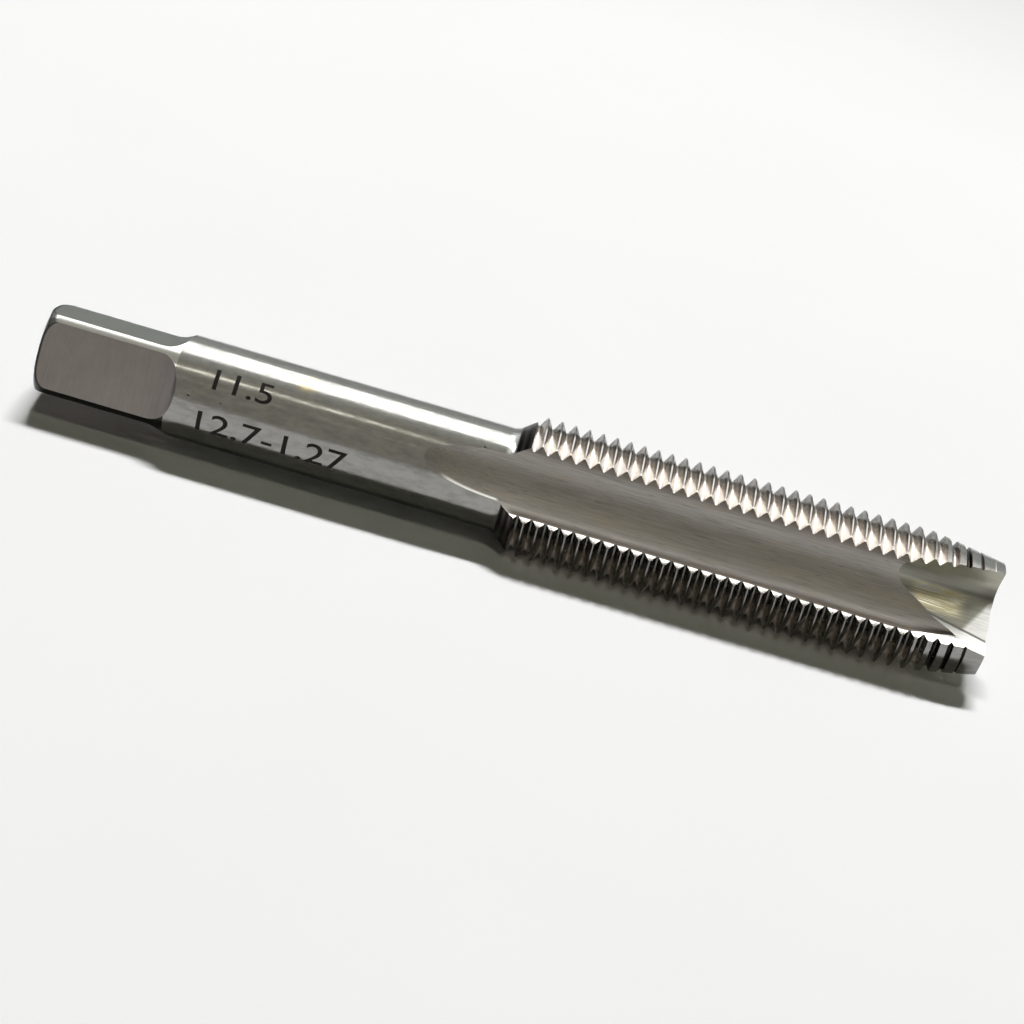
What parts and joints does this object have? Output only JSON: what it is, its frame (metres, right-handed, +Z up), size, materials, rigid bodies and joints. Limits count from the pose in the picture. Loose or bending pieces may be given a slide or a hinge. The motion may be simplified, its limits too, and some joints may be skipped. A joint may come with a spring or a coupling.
{
  "type": "thread tap",
  "caption": "One-piece spiral-point hand tap with straight flutes, a plug chamfer, a reduced plain shank and a square drive end.",
  "frame": {"origin": "on the surface that the tap lies on, under the centre of its bounding box", "axes": "+X along the tap's axis from the square end to the cutting tip, +Z up; it lies on the two land edges of one flute"},
  "size_m": [0.087, 0.0126, 0.0117],
  "materials": {
    "ground_steel": "bright ground high-speed steel, polished shank and lengthwise grained flutes"
  },
  "bodies": {
    "root": {"tap": "ground_steel"}
  },
  "joints": []
}
